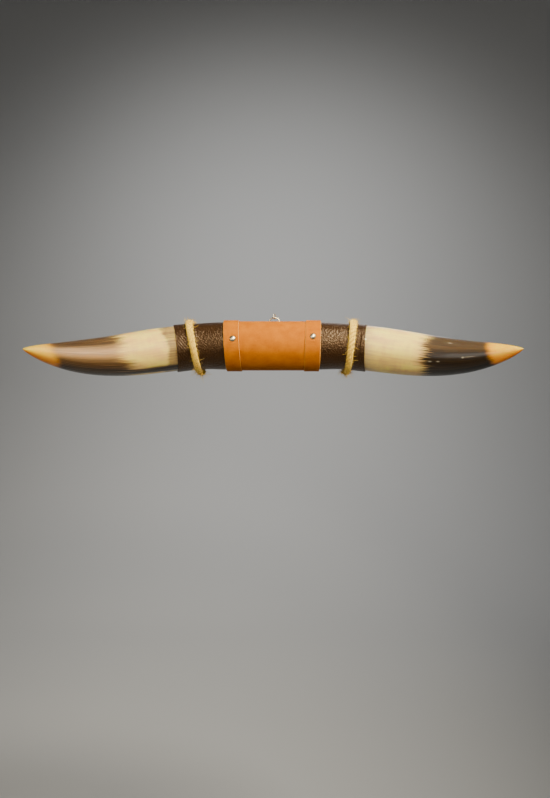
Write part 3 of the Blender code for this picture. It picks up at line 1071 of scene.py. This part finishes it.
for side in HANDS:
    drive_nail("front_stud_" + side, "stud_front_" + side, STUD_FRONT[side],
               STRAP_OUTSIDE - STUD_SINK, STUD_HEAD, STUD_PIN)
    drive_nail("back_stud_" + side, "stud_back_" + side, STUD_BACK[side],
               STRAP_OUTSIDE + SHEET_THICK + GAP - STUD_SINK, STUD_HEAD, STUD_PIN)
drive_nail("sleeve_tack", "edge_tack", TACK_PLACE, sleeve_outside(TACK_PLACE[0]), TACK_HEAD, TACK_PIN)


# The ropes: a length of three-strand jute tied once round each end of the sleeve, with a half knot
# low at the back and two frayed ends. It is laid from yarn, so it is hairy all over.

ROPE_HALF = 0.0034
ROPE_FLATNESS = 0.62
ROPE_SINK = 0.0003
KNOT_ANGLE = 216
KNOT_HALF = 0.0105
KNOT_TWIST = 540
KNOT_THROW = 0.0021
TAIL_LENGTH = {"left": (0.006, 0.009), "right": (0.008, 0.006)}
TAIL_SPLAY = 0.004


def rope_guide(side):
    """The line of one rope, from the tip of one end through the knot and round to the other.

    Each point keeps how frayed the rope is there and how flat it is pressed.
    """
    hand = HANDS[side]
    reach = sleeve_outside(ROPE_PLACE[side]) + ROPE_HALF * ROPE_FLATNESS
    half_turn = math.degrees(KNOT_HALF / reach)
    points = []

    def put(degrees, lift=0.0, shift=0.0, fray=0.0, flat=ROPE_FLATNESS):
        turn = math.radians(degrees)
        along = rope_line(side, turn)
        radius = sleeve_outside(along) + ROPE_HALF * flat - ROPE_SINK + lift
        points.append((round_bar(along + shift, radius, turn), fray, flat))

    def through_knot(first, last, start):
        for step in range(15):
            share = step / 14
            phase = math.radians(start + KNOT_TWIST * share)
            flat = ROPE_FLATNESS + 0.2 * math.sin(math.pi * share)
            lift = KNOT_THROW * (1 + math.cos(phase))
            put(first + (last - first) * share, lift, hand * KNOT_THROW * math.sin(phase), flat=flat)

    def put_tail(degrees, away, length, shares):
        for share in shares:
            spot = degrees + away * share * math.degrees(length / reach)
            splay = -away * hand * TAIL_SPLAY * share**2
            put(spot, (2 - 1.2 * share) * KNOT_THROW, splay, share)

    low, high = KNOT_ANGLE - half_turn, KNOT_ANGLE + half_turn
    first, second = TAIL_LENGTH[side]
    shares = spread(0, 1, 8)[1:]
    put_tail(low, -1, first, reversed(shares))
    through_knot(low, high, 0)
    for step in range(1, 120):
        put(high + (360 - 2 * half_turn) * step / 120)
    through_knot(low + 360, high + 360, 180)
    put_tail(high, 1, second, shares)
    mesh = bpy.data.meshes.new("rope_guide")
    mesh.from_pydata([place for place, *_ in points], [(i, i + 1) for i in range(len(points) - 1)], [])
    keep(mesh, [marks for _, *marks in points], "fray", "flatness")
    return mesh


# The kinds of hair: how far each has bent by its middle and by its end, as shares of its length.
HAIR_BENDS = (
    ((0.5, 0.05, 0.3), (1.0, 0.12, 0.3)),
    ((0.35, -0.1, 0.4), (0.8, 0.1, 0.7)),
    ((0.3, 0.1, 0.5), (0.35, -0.2, 1.0)),
)


def hair_kinds(length, radius):
    """One thin bent tube for each kind of hair, as instances to pick from."""
    tree = length.tree
    along = field(tree, "GeometryNodeSplineParameter")
    thread = field(tree, "GeometryNodeCurvePrimitiveCircle", inputs={0: 3, 4: radius})
    kinds = add(tree, "GeometryNodeGeometryToInstance", {})
    for middle, end in reversed(HAIR_BENDS):
        curve = add(tree, "GeometryNodeCurveQuadraticBezier", {"Resolution": 6, "Start": (0, 0, 0)})
        connect(tree, curve, middle=length.times(middle), end=length.times(end))
        inputs = {"Curve": curve.outputs[0], "Profile Curve": thread, "Scale": 1 - along * 0.6}
        connect(tree, kinds, geometry=length.node("GeometryNodeCurveToMesh", inputs))
    return Field(kinds.outputs[0])


def random_value(tree, kind, low, high, seed):
    least, most, output = {"FLOAT": (2, 3, 1), "INT": (4, 5, 2)}[kind]
    inputs = {least: low, most: high, 8: seed}
    return field(tree, "FunctionNodeRandomValue", output, inputs, data_type=kind)


def strewn(surface, hairs, density, longer, seed):
    """Hairs of every kind standing at random all over a surface, some longer than others."""
    tree = surface.tree
    inputs = {"Mesh": surface, "Density": density, "Seed": seed}
    roots = add(tree, "GeometryNodeDistributePointsOnFaces", inputs)
    points, rotation = Field(roots.outputs["Points"]), Field(roots.outputs["Rotation"])
    turn_axes = {"Axis": (0, 0, 1), "Angle": random_value(tree, "FLOAT", 0.0, math.tau, seed + 1)}
    spun = surface.node("FunctionNodeAxisAngleToRotation", turn_axes)
    inputs = {"Rotation": rotation, "Rotate By": spun}
    rotation = rotation.node("FunctionNodeRotateRotation", inputs, rotation_space="LOCAL")
    size = random_value(tree, "FLOAT", 0.35, 1.0, seed + 2) * longer
    inputs = {
        "Points": points,
        "Instance": hairs,
        "Pick Instance": True,
        "Instance Index": random_value(tree, "INT", 0, len(HAIR_BENDS) - 1, seed + 3),
        "Rotation": rotation,
        "Scale": size,
    }
    return points.node("GeometryNodeInstanceOnPoints", inputs)


def make_rope_tree():
    tree, given, out = shape_group(
        "laid_rope",
        strand_radius=0.00190,
        twist_radius=0.00192,
        lay=0.0135,
        fibres_per_metre_squared=260000.0,
        fibre_length=0.0040,
        fibre_radius=0.00009,
        wisps_per_metre_squared=20000.0,
        wisp_length=0.0085,
        wisp_radius=0.0002,
        seed=3,
        material=None,
    )
    line = given.geometry.node("GeometryNodeMeshToCurve", {"Mesh": given.geometry})
    line = line.node("GeometryNodeResampleCurve", {"Curve": line, "Length": 0.00055}, mode="LENGTH")
    line = line.node("GeometryNodeSetCurveNormal", {"Curve": line}, mode="MINIMUM_TWIST")
    place = field(tree, "GeometryNodeInputPosition")
    line = stored(line, "middle", place, "FLOAT_VECTOR")
    fray = kept(tree, "fray")
    three = add(tree, "GeometryNodeDuplicateElements", {"Geometry": line, "Amount": 3}, domain="SPLINE")
    strands, which = (Field(socket) for socket in three.outputs)
    far = field(tree, "GeometryNodeSplineParameter", 1)
    uneven = place.noise(scale=260, detail=1) - 0.5
    phase = (far / given.lay + which / 3) * math.tau + uneven * 0.9
    normal = field(tree, "GeometryNodeInputNormal")
    side = field(tree, "GeometryNodeInputTangent").vector("CROSS_PRODUCT", normal)
    turned = normal.scaled(phase.math("COSINE")).vector("ADD", side.scaled(phase.math("SINE")))
    loose = given.twist_radius * (1 + fray * 0.7)
    strands = moved(strands, turned.scaled(loose))
    tilt = far / given.lay * -9
    strands = strands.node("GeometryNodeSetCurveTilt", {"Curve": strands, "Tilt": tilt})
    inputs = {0: 16, 4: given.strand_radius}
    ring = field(tree, "GeometryNodeCurvePrimitiveCircle", inputs=inputs)
    corner = field(tree, "GeometryNodeInputIndex")
    lobe = (corner * (math.tau * 4 / 16)).math("COSINE") * 0.09
    ring = moved(ring, place.scaled(lobe))
    taper = 1 + uneven * 0.14 - fray * 0.45
    inputs = {"Curve": strands, "Profile Curve": ring, "Scale": taper, "Fill Caps": True}
    tubes = strands.node("GeometryNodeCurveToMesh", inputs)
    # The whole rope is then pressed flat towards the bar.
    middle = kept(tree, "middle", "FLOAT_VECTOR")
    out_of_bar = middle.times((0, 1, 1)).vector("NORMALIZE")
    rise = place.vector("SUBTRACT", middle).vector("DOT_PRODUCT", out_of_bar, output=1)
    tubes = moved(tubes, out_of_bar.scaled(rise * (kept(tree, "flatness") - 1)))
    tubes = tubes.node("GeometryNodeSetShadeSmooth", {"Geometry": tubes, "Shade Smooth": True})
    # Short fibres stand all over the strands, and a few long wisps, most of them at the ends.
    fibres = strewn(
        tubes,
        hair_kinds(given.fibre_length, given.fibre_radius),
        given.fibres_per_metre_squared * (1 + fray * 0.6),
        1 + fray * 1.1,
        given.seed,
    )
    wisps = strewn(
        tubes,
        hair_kinds(given.wisp_length, given.wisp_radius),
        given.wisps_per_metre_squared * (1 + fray * 5),
        1 + fray * 0.1,
        given.seed + 5,
    )
    both = add(tree, "GeometryNodeJoinGeometry", {})
    for shape in (wisps, fibres, tubes):
        connect(tree, both, geometry=shape)
    end_tree(tree, out, Field(both.outputs[0]), given)
    return tree


def make_jute():
    made, tree, shader = plain_material("jute", (0.75, 0.55, 0.25), 0.8)
    place = field(tree, "ShaderNodeTexCoord", 3)
    blots = place.noise(scale=350, detail=3)
    threads = place.noise(scale=2600, detail=2)
    mask = blots * 0.6 + threads * 0.5
    colour = mask.rise(0.25, 0.8).colour_to(shade(214, 158, 30), shade(252, 216, 74))
    shader.inputs["Sheen Weight"].default_value = 0.2
    connect(tree, shader, base_color=colour, normal=bump(threads, 0.0003))
    return made


jute = make_jute()
rope_tree = make_rope_tree()
for side, seed in (("left", 3), ("right", 13)):
    rope = settled("tied_rope_" + side, rope_guide(side), rope_tree, seed=seed, material=jute)
    fit(rope, "rope_" + side)


# The hanging gear: a brass screw eye let into the back of the bar, a ring loose in it and a small
# link loose on the ring, by which it all hangs. Each is bent from wire, and the last two are closed.

GEAR_SIDE = 0.00175
EYE_ANGLE = 138.7
EYE_REACH = 0.0305
EYE_RADIUS = 0.00265
EYE_WIRE = 0.00065
EYE_TURNS = (25, 317.5)
EYE_SHANK = 0.0185
RING_RADIUS = 0.0057
RING_WIRE = 0.0007
LINK_HALF_WIDTH = 0.00205
LINK_HALF_HEIGHT = 0.0025
LINK_WIRE = 0.00045
LINK_TURN = 50


def wire_mesh(name, line, radius, closed):
    """Wire bent along a line of points, with rounded ends where it is open."""
    curve = bpy.data.curves.new(name, "CURVE")
    curve.dimensions = "3D"
    curve.bevel_depth = radius
    curve.bevel_resolution = 5
    curve.use_fill_caps = True
    spline = curve.splines.new("POLY")
    spline.points.add(len(line) - 1)
    spline.use_cyclic_u = closed
    ends = {} if closed else {0: 0.25, 1: 0.75}
    for index, place in enumerate(line):
        spline.points[index].co = (*place, 1)
        spline.points[index].radius = ends.get(min(index, len(line) - 1 - index), 1.0)
    holder = link_object(name, curve)
    mesh = bpy.data.meshes.new_from_object(holder)
    bpy.data.objects.remove(holder)
    mesh.shade_smooth()
    return mesh


yellow_brass = figured_material(
    "yellow_brass", brass_wear, BRASS_RELIEF, {"Metallic": 1.0},
    bright=(0.88, 0.72, 0.42),
    dull=(0.50, 0.36, 0.17),
    patch_size=0.003,
    tarnish=0.4,
)


def bend_wire(name, node, line, radius, closed, middle, body="horn_bar"):
    mesh = wire_mesh(name, line, radius, closed)
    mesh.transform(Matrix.Translation(BAR_AXIS + Vector(middle)))
    mesh.materials.append(yellow_brass)
    fit(link_object(name, mesh), node, body)


eye_out = Vector(round_bar(0, 1, math.radians(EYE_ANGLE)))
eye_across = Vector((0, -eye_out.z, eye_out.y))
eye_middle = Vector((GEAR_SIDE, 0, 0)) + eye_out * EYE_REACH
shank = [-EYE_SHANK + share * EYE_WIRE for share in (0, 0.25, 0.8)]
shank += spread(-EYE_SHANK + 2 * EYE_WIRE, -EYE_RADIUS - 2.2 * EYE_WIRE, 60)
eye_line = [eye_out * along for along in shank]
first, last = EYE_TURNS
loop_turns = [math.radians(turn) for turn in spread(first, last - 3, 40)]
loop_turns += [math.radians(last + step) for step in (-1.5, 0)]
eye_line += [
    (-eye_out * math.cos(turn) + eye_across * math.sin(turn)) * EYE_RADIUS for turn in loop_turns
]
bend_wire("hanging_eye", "screw_eye", eye_line, EYE_WIRE, False, eye_middle)

ring_pivot = eye_middle + Vector((0, 0, EYE_RADIUS - EYE_WIRE - RING_WIRE - GAP))
ring_line = []
for turn in spread(0, math.tau, 72)[:-1]:
    ring_line.append(Vector((math.sin(turn), 0, 1 - math.cos(turn))) * RING_RADIUS)
bend_wire("hanging_wire_ring", "hanging_ring", ring_line, RING_WIRE, True, ring_pivot, "ring")

link_pivot = ring_pivot + Vector((0, 0, 2 * RING_RADIUS))
link_middle = Vector((0, 0, LINK_HALF_HEIGHT - RING_WIRE - GAP - LINK_WIRE))
link_across = Vector((math.cos(math.radians(LINK_TURN)), math.sin(math.radians(LINK_TURN)), 0))
link_line = []
for turn in spread(0, math.tau, 48)[:-1]:
    rise = Vector((0, 0, LINK_HALF_HEIGHT * math.sin(turn)))
    link_line.append(link_middle + link_across * LINK_HALF_WIDTH * math.cos(turn) + rise)
bend_wire("hanging_wire_link", "hanging_link", link_line, LINK_WIRE, True, link_pivot, "link")
